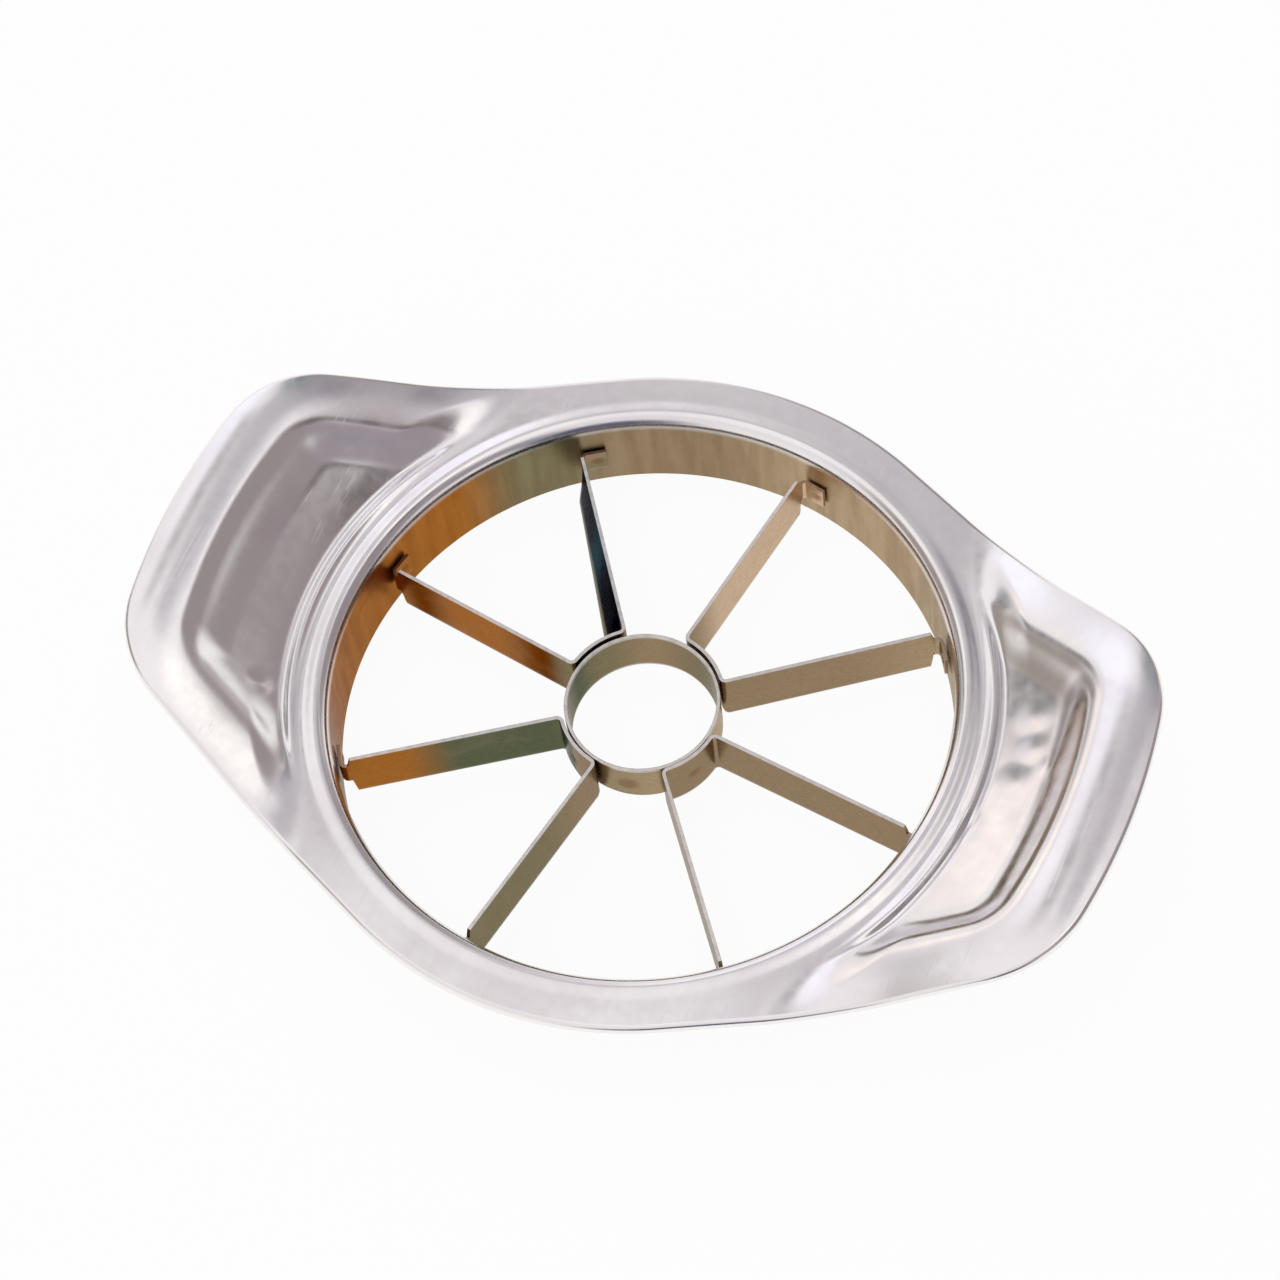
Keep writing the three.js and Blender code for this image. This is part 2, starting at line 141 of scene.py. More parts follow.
class BladeSizes(bpy.types.PropertyGroup):
    """Sizes of the core ring and the blade strips, the same as the packed part's."""

    core_radius: length("Core radius", "Inner radius of the core ring", 12)
    core_wall: length("Core wall", "Wall of the core ring", 0.6)
    core_height: length("Core height", "Height of the core ring", 9)
    core_bevel: length("Core bevel", "Height of the ground lower edge", 1)
    strip_thickness: length("Strip thickness", "Thickness of a blade strip", 0.6)
    strip_bottom: length("Strip bottom", "Height of the cutting edges above the foot", 0.7)
    strip_height: length("Strip height", "Height of a blade", 10.6)
    above_core: length("Above core", "How far the blades stand above the core ring", 0.6)
    strip_bevel: length("Strip bevel", "Height of a blade's ground lower edge", 1.2)
    cutting_edge: length("Cutting edge", "Thickness left at the cutting edges", 0.16)
    bend_radius: length("Bend radius", "Middle radius of every bend", 0.9)
    fitting_gap: length("Fitting gap", "Gap between welded faces", 0.3)
    tab_length: length("Tab length", "Length of a welded tab", 4.2)
    tab_height: length("Tab height", "Height of a welded tab", 4.6)
    tab_below_top: length("Tab below top", "How far a tab stays below the blade's top", 2)
    notch_inset: length("Notch inset", "Where a blade is cut down, inside the collar", 2.3)
    lower_notch_run: length("Lower notch run", "Slant of the lower cut", 0.4)
    upper_notch_run: length("Upper notch run", "Slant of the upper cut", 0.6)
    first_blade: angle("First blade", "Direction of the first blade from X", 35.2)
    strip_turns: FloatVectorProperty(
        name="Strip turns", description="How far each strip is set off the even spacing",
        default=[math.radians(turn) for turn in (0.0, -0.3, -1.7, 2.3)], size=4, unit="ROTATION")
    blade_lean: length("Blade lean", "Sideways lean of the third blade's cutting edge", 3.3)
    weld_radius: length("Weld radius", "Radius of a spot-weld dimple", 1.3)
    weld_depth: length("Weld depth", "Depth of a spot-weld dimple", 0.1)


class Finishes(bpy.types.PropertyGroup):
    """Colours and gloss of the steel."""

    steel: colour("Steel", "Polished stainless sheet", 243, 241, 241)
    steel_shade: colour("Steel shade", "Duller patches of the sheet", 230, 225, 228)
    mill: colour("Mill finish", "Unpolished back of the sheet", 202, 201, 203)
    mill_shade: colour("Mill shade", "Duller patches of the back", 184, 182, 185)
    # Rubbed bare steel at the edges, which also serves as painted highlight along them
    bare_edge: colour("Bare edge", "Rubbed edges", 246, 244, 242)
    grain: colour("Grain", "Darker drawing and rolling lines", 206, 198, 186)
    # cream to navy are painted reflection colours, the warm and dark surroundings that the collar's
    # wall, the core ring and the blades mirror; umber is also the real brown of the spot welds
    cream: colour("Cream", "Palest tint", 214, 188, 160)
    straw: colour("Straw", "Faint straw tint", 188, 165, 134)
    khaki: colour("Khaki", "Dull brown-grey tint of the blades", 158, 136, 108)
    olive: colour("Olive", "Olive tint between the amber and the straw", 134, 124, 94)
    amber: colour("Amber", "Strong straw tint left by drawing and welding", 170, 109, 46)
    umber: colour("Umber", "Brown tint near a weld", 120, 68, 32)
    moss: colour("Moss", "Green-grey tint", 98, 104, 80)
    indigo: colour("Indigo", "Blue-green tint of the hottest blade", 18, 72, 84)
    navy: colour("Navy", "Darkest tint of that blade", 30, 38, 58)
    polish_roughness: share("Polish roughness", "Roughness of the polished sheet", 0.15)
    strip_roughness: share("Strip roughness", "Roughness of the rolled strip", 0.26)


class StudioSettings(bpy.types.PropertyGroup):
    """Floor, light and camera."""

    floor_colour: colour("Floor", "Plain pale floor", 250, 250, 250)
    floor_size: length("Floor size", "Width of the floor", 6000)
    lamp_size: length("Lamp size", "Width of the soft overhead lamp", 1200)
    lamp_power: FloatProperty(
        name="Lamp power", description="Power of the overhead lamp", default=0.5,
        unit="POWER",
    )
    lens: FloatProperty(
        name="Lens", description="Focal length of the camera", default=99.606, min=1.0,
    )


def smooth_step(start, end, value):
    t = min(max((value - start) / (end - start), 0.0), 1.0)
    return t * t * (3 - 2 * t)


def mix(a, b, amount):
    return a + (b - a) * amount


def mix_colours(first, second, amount):
    return [mix(a, b, amount) for a, b in zip(first, second)]


def spread(a, b, count):
    """Values from just after a up to b, evenly spaced."""
    return [mix(a, b, i / count) for i in range(1, count + 1)]


def polar(radius, turn):
    return Vector((radius * math.cos(turn), radius * math.sin(turn)))


# Shallow dents of use in the pockets, as x, y, radius and depth in millimetres
DENTS = [
    (60.5, 16, 4.4, 0.28), (62.5, 10, 3.2, 0.2), (61.5, 3.5, 4.4, 0.3),
    (58, -5, 3.8, 0.24), (66, 7, 3, 0.15), (-57, -21, 2.6, 0.3),
]


class BodyShape:
    """Plan and height of the pressed body's upper face."""

    WALL_STEPS = 12
    LIP_STEPS = 14
    VALLEY_STEPS = 16
    LAND_STEPS = 46
    FOLD_STEPS = 7
    HALVINGS = 34
    # Turn to either side, in radians, over which the outline's direction is taken
    NORMAL_TURN = 0.004
    # Share of a pocket wall's run that bends at the brim, before it eases into the floor
    BRIM_SHARE = 0.42
    # Valley's depth away from the wings, as a share of that beside them, and the distances
    # along X, in ring radii, between which it deepens
    VALLEY_LEAST = 0.2
    VALLEY_FROM = 0.5
    VALLEY_TO = 0.9
    # Share of the upward sweep from which the flange has its full roll
    FULL_ROLL = 0.4

    def __init__(self, sizes):
        for name in BodySizes.__annotations__:
            setattr(self, name, getattr(sizes, name))
        self.crest_radius = self.collar_radius + self.lip_run
        self.crest_height = self.collar_height + self.lip_rise
        self.valley_radius = self.crest_radius + self.crest_to_valley
        self.band_radius = self.valley_radius + self.valley_to_band
        self.ring_radius = self.band_radius + self.band_width
        self.half_length = self.ring_radius + self.wing_reach
        self.sweep_end = self.half_length - self.tip_flat
        self.sweep_start = self.sweep_end - self.sweep_run
        self.side = polar(1.0, self.side_normal)

    def depth_inside(self, x, y, side_inset, end_inset, corner_radius):
        """Depth of a plan point inside a wing's outline, moved inwards at side and end."""
        px, py = abs(x), abs(y)
        nx, ny = self.side
        centre = self.half_length - self.end_arc_radius
        past_side = py * nx - px * ny > 0
        reach = math.hypot(px, py) if past_side else px * nx + py * ny
        side = self.ring_radius - side_inset - reach
        end = self.end_arc_radius - end_inset - math.hypot(px - centre, py)
        line = self.ring_radius - side_inset - corner_radius - centre * nx
        circle = self.end_arc_radius - end_inset - corner_radius
        half_chord = math.sqrt(circle * circle - line * line)
        corner_x = centre + line * nx + half_chord * ny
        corner_y = line * ny - half_chord * nx
        qx, qy = px - corner_x, py - corner_y
        past_end = (corner_x - centre) * qy - corner_y * qx > 0
        if past_end and qx * ny - qy * nx > 0:
            return corner_radius - math.hypot(qx, qy)
        return min(side, end)

    def pocket_drop(self, x, y, rise):
        """Drop from the swept face to an even floor, inside a step at the rim and a wall."""
        outer = self.depth_inside(x, y, self.pocket_side, self.pocket_end, self.pocket_corner)
        from_rim = math.hypot(x, y) - self.band_radius + self.pocket_from_band
        over = rise + self.pocket_sill - self.pocket_slope * from_rim - self.pocket_least
        depth = self.pocket_least + (over + math.hypot(over, self.pocket_least)) / 2
        return depth * self.wall_share(outer / self.pocket_wall) * self.wall_share(
            from_rim / self.pocket_step_run)

    def wall_share(self, run_share):
        """Share of a wall's depth: bends quickly at the brim, then eases into the floor."""
        t = min(max(run_share, 0.0), 1.0)
        if t < self.BRIM_SHARE:
            return t * t / self.BRIM_SHARE
        return 1 - (1 - t) ** 2 / (1 - self.BRIM_SHARE)

    def height(self, x, y):
        """Height of the upper face over a plan point outside the crest."""
        r = math.hypot(x, y)
        hollow = mix(self.VALLEY_LEAST, 1.0, smooth_step(
            self.ring_radius * self.VALLEY_FROM, self.ring_radius * self.VALLEY_TO, abs(x)))
        z = self.crest_height - hollow * self.valley_drop * smooth_step(
            self.crest_radius, self.valley_radius, r)
        z += hollow * (self.valley_drop - self.band_drop) * smooth_step(
            self.valley_radius, self.band_radius, r)
        outside = smooth_step(self.valley_radius, self.valley_radius + self.level_rim, r)
        sweep = smooth_step(self.sweep_start, self.sweep_end, abs(x)) * outside
        edge = self.depth_inside(x, y, 0.0, 0.0, self.corner_radius)
        roll = min(max(1 - edge / self.flange_roll, 0.0), 1.0)
        rise = self.wing_rise * sweep
        rise -= self.flange_drop * roll * roll * smooth_step(0.0, self.FULL_ROLL, sweep)
        z += rise - self.pocket_drop(x, y, rise)
        for dent_x, dent_y, radius, depth in DENTS:
            off = math.hypot(x / MM - dent_x, y / MM - dent_y)
            if off < radius:
                z -= depth * MM * (1 - smooth_step(0.0, radius, off))
        return z

    def outline_point(self, turn):
        """Point of the outer edge in that direction, found by halving."""
        low, high = self.collar_radius, self.half_length + self.corner_radius
        for _ in range(self.HALVINGS):
            middle = (low + high) / 2
            x, y = polar(middle, turn)
            if self.depth_inside(x, y, 0.0, 0.0, self.corner_radius) > 0:
                low = middle
            else:
                high = middle
        return polar(low, turn)

    def section(self, turn):
        """Visible face from the collar's foot over the rim to the turned-down edge."""
        c, s = math.cos(turn), math.sin(turn)
        points = [Vector((self.collar_radius * c, self.collar_radius * s, z))
                  for z in [0.0] + spread(0.0, self.collar_height, self.WALL_STEPS)]
        for bend in spread(0.0, math.pi / 2, self.LIP_STEPS):
            r = self.crest_radius - self.lip_run * math.cos(bend)
            z = self.collar_height + self.lip_rise * math.sin(bend)
            points.append(Vector((r * c, r * s, z)))
        for r in spread(self.crest_radius, self.band_radius, self.VALLEY_STEPS):
            points.append(Vector((r * c, r * s, self.height(r * c, r * s))))
        edge = self.outline_point(turn)
        along = self.outline_point(turn + self.NORMAL_TURN)
        along -= self.outline_point(turn - self.NORMAL_TURN)
        normal = Vector((along.y, -along.x)).normalized()
        start = polar(self.band_radius, turn)
        fold_start = edge - normal * self.fold_radius
        for t in spread(0.0, 1.0, self.LAND_STEPS):
            p = start.lerp(fold_start, t)
            points.append(Vector((p.x, p.y, self.height(p.x, p.y))))
        top = points[-1].z
        for bend in spread(0.0, math.pi / 2, self.FOLD_STEPS):
            p = fold_start + normal * (self.fold_radius * math.sin(bend))
            points.append(Vector((p.x, p.y, top - self.fold_radius * (1 - math.cos(bend)))))
        points.append(Vector((edge.x, edge.y, top - self.fold_radius - self.skirt_depth)))
        return points


def back_of_sheet(sections, thickness):
    """Back face of a sheet whose visible face is a closed ring of sections."""
    count = len(sections)
    backs = []
    for j, section in enumerate(sections):
        before, after = sections[j - 1], sections[(j + 1) % count]
        back = []
        for i, point in enumerate(section):
            across = section[min(i + 1, len(section) - 1)] - section[max(i - 1, 0)]
            normal = (after[i] - before[i]).cross(across).normalized()
            moved = point + normal * thickness
            if i == 0:
                moved.z = point.z
            back.append(moved)
        backs.append(back)
    return backs


def build_mesh(name, loops, closed, tints, masks):
    """A piece from equally long point loops, joined loop to loop, with its faces outwards.

    tints, and each of the named masks, are lists like loops, one colour or number for each point.
    """
    size = len(loops[0])
    vertices = [tuple(p) for loop in loops for p in loop]
    faces = []
    for j in range(len(loops) if closed else len(loops) - 1):
        a, b = j * size, ((j + 1) % len(loops)) * size
        for i in range(size):
            k = (i + 1) % size
            faces.append((a + i, a + k, b + k, b + i))
    if not closed:
        last = (len(loops) - 1) * size
        faces.append(tuple(reversed(range(size))))
        faces.append(tuple(last + i for i in range(size)))
    mesh = bpy.data.meshes.new(name)
    mesh.from_pydata(vertices, [], faces)
    volume = sum(
        Vector(vertices[f[0]]).dot(Vector(vertices[f[i]]).cross(Vector(vertices[f[i + 1]])))
        for f in faces for i in range(1, len(f) - 1))
    if volume < 0:
        mesh.flip_normals()
    layer = mesh.attributes.new("tint", "FLOAT_COLOR", "POINT")
    layer.data.foreach_set("color", [c for loop in tints for t in loop for c in (*t, 1.0)])
    for label, values in masks.items():
        layer = mesh.attributes.new(label, "FLOAT", "POINT")
        layer.data.foreach_set("value", [v for loop in values for v in loop])
    piece = bpy.data.objects.new(name, mesh)
    bpy.context.scene.collection.objects.link(piece)
    return piece


SHARP_ANGLE = math.radians(40)
ROUNDING_SEGMENTS = 2


def finish_piece(piece, node, material, edge_width):
    """Rounds the piece's sharp edges, shades it smooth and puts it in its node's place."""
    mesh = piece.data
    mesh.polygons.foreach_set("use_smooth", [True] * len(mesh.polygons))
    mesh.set_sharp_from_angle(angle=SHARP_ANGLE)
    bevel = piece.modifiers.new("rounded_edges", "BEVEL")
    bevel.width = edge_width
    bevel.segments = ROUNDING_SEGMENTS
    bevel.limit_method = "ANGLE"
    bevel.angle_limit = SHARP_ANGLE
    mesh.materials.append(material)
    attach(piece, ROOT_BODY)
    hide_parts(node)


class NodeBuilder:
    """Short calls for adding nodes to one node tree."""

    def __init__(self, tree):
        self.tree = tree

    def add(self, kind, inputs=None, **settings):
        node = self.tree.nodes.new(kind)
        for name, value in settings.items():
            setattr(node, name, value)
        for name, value in (inputs or {}).items():
            self.set(node.inputs[name], value)
        return node

    def set(self, socket, value):
        if isinstance(value, bpy.types.NodeSocket):
            self.tree.links.new(value, socket)
        elif socket.type == "RGBA":
            socket.default_value = (*tuple(value)[:3], 1.0)
        else:
            socket.default_value = value

    def math(self, operation, first, second=0.0, third=0.0, clamp=False):
        node = self.add("ShaderNodeMath", operation=operation, use_clamp=clamp)
        for socket, value in zip(node.inputs, (first, second, third)):
            self.set(socket, value)
        return node.outputs[0]

    def blend(self, amount, first, second, mode="MIX"):
        """Mix of two colours; sockets 6 and 7 are the node's colour inputs, and 2 its output."""
        node = self.add("ShaderNodeMix", data_type="RGBA", blend_type=mode)
        self.set(node.inputs["Factor"], amount)
        self.set(node.inputs[6], first)
        self.set(node.inputs[7], second)
        return node.outputs[2]

    def ramp(self, value, low, high, to_low=0.0, to_high=1.0):
        """Smooth rise from to_low to to_high as the value goes from low to high."""
        node = self.add("ShaderNodeMapRange", interpolation_type="SMOOTHSTEP")
        for socket, v in zip(node.inputs, (value, low, high, to_low, to_high)):
            self.set(socket, v)
        return node.outputs[0]

    def noise(self, vector, scale, detail=2.0, distortion=0.0):
        node = self.add("ShaderNodeTexNoise", {
            "Vector": vector, "Scale": scale, "Detail": detail, "Distortion": distortion})
        return node.outputs[0]

    def stretch(self, vector, scale, turn=0.0):
        """Places turned about Z and scaled along each axis; a low scale draws a texture out."""
        node = self.add("ShaderNodeMapping", {
            "Vector": vector, "Rotation": (0.0, 0.0, turn), "Scale": scale})
        return node.outputs[0]

    def bump(self, height, strength, distance, normal=None):
        """Normal of a bump, on top of another normal where one is given."""
        node = self.add("ShaderNodeBump", {
            "Height": height, "Strength": strength, "Distance": distance})
        if normal is not None:
            self.set(node.inputs["Normal"], normal)
        return node.outputs["Normal"]

    def mask(self, name):
        """The number that the mesh keeps under that name at each point."""
        return self.add("ShaderNodeAttribute", attribute_name=name).outputs["Fac"]

    def tint(self):
        """The painted reflection colour that the mesh keeps at each point."""
        return self.add("ShaderNodeAttribute", attribute_name="tint").outputs["Color"]

    def object_place(self):
        return self.add("ShaderNodeTexCoord").outputs["Object"]

    def roughen(self, rough, masks):
        """Roughness with an amount added under each mask, given as (mask, amount)."""
        for mask, amount in masks:
            rough = self.math("MULTIPLY_ADD", mask, amount, rough)
        return rough


def blank_nodes(owner):
    """Empties the node tree of a material or world, ready for new nodes."""
    owner.use_nodes = True
    owner.node_tree.nodes.clear()
    return NodeBuilder(owner.node_tree)


def make_group(name, inputs, outputs):
    """An empty shader node group: its builder, what it is given and what it puts out."""
    tree = bpy.data.node_groups.new(name, "ShaderNodeTree")
    for in_out, sockets in (("INPUT", inputs), ("OUTPUT", outputs)):
        for label, (kind, default) in sockets.items():
            socket = tree.interface.new_socket(
                name=label, in_out=in_out, socket_type="NodeSocket" + kind)
            if default is not None:
                socket.default_value = default
    start = tree.nodes.new("NodeGroupInput")
    end = tree.nodes.new("NodeGroupOutput")
    return NodeBuilder(tree), start.outputs, end.inputs


# Directions of the rubbing marks, how far they are drawn out, and the size of the patches that
# hold them, as a share of the marks' own density
SCRATCH_TURNS = (0.3, 1.5, 2.6)
SCRATCH_STRETCH = (1.0, 0.035, 1.0)
SCRATCH_PATCH = 0.09


def fine_scratch_group():
    """Hair-fine rubbing marks in three directions, as a height and as a mask."""
    b, given, out = make_group(
        "fine_scratches",
        {"Vector": ("Vector", None), "Density": ("Float", 900.0), "Amount": ("Float", 0.5)},
        {"Mask": ("Float", None), "Height": ("Float", None)})
    total = 0.0
    for turn in SCRATCH_TURNS:
        drawn = b.stretch(given["Vector"], SCRATCH_STRETCH, turn)
        lines = b.noise(drawn, given["Density"], detail=1.0)
        patches = b.math("MULTIPLY", given["Density"], SCRATCH_PATCH)
        where = b.noise(drawn, patches, detail=1.0)
        line = b.math("MULTIPLY", b.ramp(lines, low=0.64, high=0.72),
                      b.ramp(where, low=0.46, high=0.62))
        total = b.math("ADD", total, line)
    mask = b.math("MULTIPLY", total, given["Amount"], clamp=True)
    b.set(out["Mask"], mask)
    b.set(out["Height"], b.math("MULTIPLY", mask, -1.0))
    return b.tree


def rubbed_edge_highlight_group():
    """Rubbed bright edges that are partly painted highlight: an edge mask broken up by noise."""
    b, given, out = make_group(
        "edge_wear",
        {"Edge": ("Float", 0.0), "Vector": ("Vector", None), "Grain": ("Float", 500.0)},
        {"Mask": ("Float", None)})
    grain = b.noise(given["Vector"], given["Grain"], detail=3.0)
    kept = b.ramp(grain, low=0.3, high=0.62, to_low=0.8)
    b.set(out["Mask"], b.math("MULTIPLY", given["Edge"], kept))
    return b.tree


# How many times finer the fine haze is than the broad one
FINE_HAZE = 9.0


def polish_haze_group():
    """Soft uneven gloss and colour left by polishing and handling."""
    b, given, out = make_group(
        "polish_haze",
        {"Vector": ("Vector", None), "Size": ("Float", 60.0)},
        {"Broad": ("Float", None), "Fine": ("Float", None)})
    broad = b.noise(given["Vector"], given["Size"], detail=3.0, distortion=0.6)
    fine = b.noise(given["Vector"], b.math("MULTIPLY", given["Size"], FINE_HAZE), detail=2.0)
    b.set(out["Broad"], b.ramp(broad, low=0.34, high=0.68))
    b.set(out["Fine"], b.ramp(fine, low=0.3, high=0.7))
    return b.tree


def studio_card_group():
    """Mask of one soft card in the direction that a ray looks."""
    b, given, out = make_group(
        "studio_card",
        {"Ray": ("Vector", None), "Towards": ("Vector", None),
         "Outer": ("Float", 0.8), "Inner": ("Float", 0.9)},
        {"Mask": ("Float", None)})
    facing = b.add("ShaderNodeVectorMath", operation="DOT_PRODUCT")
    b.set(facing.inputs[0], given["Ray"])
    b.set(facing.inputs[1], given["Towards"])
    b.set(out["Mask"], b.ramp(facing.outputs["Value"], given["Outer"], given["Inner"]))
    return b.tree


GROUPS = {
    "fine_scratches": fine_scratch_group,
    "edge_wear": rubbed_edge_highlight_group,
    "polish_haze": polish_haze_group,
    "studio_card": studio_card_group,
}


def use_group(b, name, **inputs):
    """Outputs of a new node with the named group, which is built the first time it is used."""
    tree = bpy.data.node_groups.get(name) or GROUPS[name]()
    return b.add("ShaderNodeGroup", inputs, node_tree=tree).outputs


def start_metal(name):
    """A bare metal material, with its node builder and its shader's inputs."""
    material = bpy.data.materials.new(name)
    b = blank_nodes(material)
    shader = b.add("ShaderNodeBsdfPrincipled", {"Metallic": 1.0})
    b.add("ShaderNodeOutputMaterial", {"Surface": shader.outputs["BSDF"]})
    return material, b, shader.inputs


# Scales along each axis that draw the collar's streaks out upwards, and the strips' lines out
# along them
DRAWING_STRETCH = (1.0, 1.0, 0.12)
ROLLING_STRETCH = (1.0, 1.0, 14.0)
# How far the haze shades the sheet, how far the collar's painted reflection colour tints glancing
# reflections, how far a weld browns the strip, and how much of its painted reflection colour a
# rubbed edge, partly painted highlight, keeps
HAZE_SHADE = 0.55
WALL_GLANCE = 0.5
WELD_SHADE = 0.4
RUBBED_TINT = 0.22


def polished_steel(finishes):
    """Bright pressed sheet with a painted reflection colour on the collar's inner wall."""
    material, b, surface = start_metal("polished_steel")
    place, tint = b.object_place(), b.tint()
    edge, wall, back = b.mask("edge"), b.mask("wall"), b.mask("back")
    haze = use_group(b, "polish_haze", Vector=place, Size=55.0)
    scratches = use_group(b, "fine_scratches", Vector=place, Density=1500.0, Amount=0.35)
    wear = use_group(b, "edge_wear", Edge=edge, Vector=place, Grain=700.0)

    hazy = b.math("MULTIPLY", haze["Broad"], HAZE_SHADE)
    tone = b.blend(hazy, finishes.steel, finishes.steel_shade)
    tone = b.blend(back, tone, b.blend(haze["Broad"], finishes.mill, finishes.mill_shade))
    # Edges at the collar's foot and the turned-down edge: rubbed bare steel, partly painted
    # highlight
    tone = b.blend(wear["Mask"], tone, finishes.bare_edge)
    drawn = b.noise(b.stretch(place, DRAWING_STRETCH), scale=420.0, detail=3.0)
    streaks = b.ramp(drawn, low=0.3, high=0.7, to_high=0.5)
    shaded = b.blend(streaks, tint, finishes.grain, "MULTIPLY")
    # The collar's wall shows the painted reflection colour, streaked by the drawing lines
    b.set(surface["Base Color"], b.blend(wall, tone, shaded))
    # The painted reflection colour also tints the wall's glancing reflections
    glance = b.blend(b.math("MULTIPLY", wall, WALL_GLANCE), WHITE, shaded)
    b.set(surface["Specular Tint"], glance)

    b.set(surface["Roughness"], b.roughen(finishes.polish_roughness, [
        (haze["Fine"], 0.05), (haze["Broad"], 0.04), (scratches["Mask"], 0.16), (wall, 0.14),
        (back, 0.16)]))

    waves = b.noise(place, scale=34.0, detail=1.0)
    ripple = b.bump(waves, strength=0.25, distance=0.6 * MM)
    marks = b.bump(scratches["Height"], strength=0.3, distance=0.02 * MM, normal=ripple)
    b.set(surface["Normal"], marks)
    return material


def strip_steel(name, finishes):
    """Rolled strip, given a painted reflection colour piece by piece, with rolling lines and a
    brighter ground edge; the bright edges are partly rubbed bare steel and partly painted
    highlight.
    """
    material, b, surface = start_metal(name)
    place, tint = b.object_place(), b.tint()
    edge, weld = b.mask("edge"), b.mask("weld")
    rolled = b.noise(b.stretch(place, ROLLING_STRETCH), scale=1100.0, detail=3.0)
    patchy = b.noise(place, scale=190.0, detail=3.0, distortion=0.8)
    wear = use_group(b, "edge_wear", Edge=edge, Vector=place, Grain=900.0)
    scratches = use_group(b, "fine_scratches", Vector=place, Density=2600.0, Amount=0.5)

    lines = b.ramp(rolled, low=0.25, high=0.75, to_high=0.6)
    tone = b.blend(lines, tint, finishes.grain, "MULTIPLY")
    tone = b.blend(b.ramp(patchy, low=0.42, high=0.7, to_high=0.15), tone, finishes.khaki)
    tone = b.blend(b.math("MULTIPLY", weld, WELD_SHADE), tone, finishes.umber)
    # Edges: rubbed bare steel that keeps a little of the tint, partly painted highlight
    rubbed = b.blend(RUBBED_TINT, finishes.bare_edge, tint)
    b.set(surface["Base Color"], b.blend(wear["Mask"], tone, rubbed))
    # Glancing reflections take a paler share of the painted reflection colour
    light = b.add("ShaderNodeRGBToBW", {"Color": tint}).outputs["Val"]
    paler = b.ramp(light, low=0.0, high=0.16, to_low=0.22, to_high=0.5)
    b.set(surface["Specular Tint"], b.blend(paler, tint, WHITE))

    face = b.math("SUBTRACT", 1.0, edge)
    uneven = b.ramp(rolled, low=0.2, high=0.8, to_low=-0.05, to_high=0.08)
    rough = b.math("ADD", b.math("MULTIPLY", face, uneven), finishes.strip_roughness)
    b.set(surface["Roughness"], b.roughen(rough, [(weld, 0.12), (scratches["Mask"], 0.12)]))

    grooves = b.bump(rolled, strength=b.math("MULTIPLY", face, 0.35), distance=0.03 * MM)
    marks = b.bump(scratches["Height"], strength=b.math("MULTIPLY", face, 0.4),
                   distance=0.02 * MM, normal=grooves)
    b.set(surface["Normal"], marks)
    return material


def tint_mix(finishes, stops, value):
    """Colour at value between named tints, each with its place on the scale."""
    for (start, first), (end, second) in zip(stops, stops[1:]):
        if value <= end:
            return mix_colours(getattr(finishes, first), getattr(finishes, second),
                               smooth_step(start, end, value))
    return list(getattr(finishes, stops[-1][1]))


# Painted reflection colours round the collar's wall, as (degrees from X, tint)
COLLAR_PAINTED_REFLECTIONS = [
    (0, "straw"), (78, "straw"), (100, "khaki"), (118, "khaki"), (129, "olive"), (136, "olive"),
    (152, "amber"), (198, "amber"), (222, "khaki"), (290, "straw"), (360, "straw"),
]


class SLICER_OT_body(bpy.types.Operator):
    """Build the pressed body with its collar, rim and two winged grips"""

    bl_idname = "apple_slicer.body"
    bl_label = "Pressed body"

    TINT_FADE = 1.7 * MM
    ROUNDING = 0.16 * MM

    def execute(self, context):
        shape = BodyShape(context.scene.slicer_body)
        finishes = context.scene.slicer_finishes
        count = shape.around_steps
        turns = [2 * math.pi * j / count for j in range(count)]
        front = [shape.section(turn) for turn in turns]
        back = back_of_sheet(front, shape.sheet_thickness)
        loops = [f + b[::-1] for f, b in zip(front, back)]
        size = len(front[0])
        # Each section's painted reflection colour, by its direction round the collar
        tints = [[tint_mix(finishes, COLLAR_PAINTED_REFLECTIONS, math.degrees(turn))] * (2 * size)
                 for turn in turns]
        fade_end = shape.collar_height + self.TINT_FADE
        on_wall = [1 - smooth_step(shape.collar_height, fade_end, p.z)
                   if i <= shape.WALL_STEPS + shape.LIP_STEPS else 0.0
                   for i, p in enumerate(front[0])]
        near_edge = [1.0 if i == 0 or i >= size - shape.FOLD_STEPS else 0.0 for i in range(size)]
        masks = {
            "wall": [on_wall + [0.0] * size] * count,
            "edge": [near_edge + near_edge[::-1]] * count,
            "back": [[0.0] * size + [1.0] * size] * count,
        }
        piece = build_mesh("pressed_body", loops, True, tints, masks)
        finish_piece(piece, "body", polished_steel(finishes), self.ROUNDING)
        return {"FINISHED"}


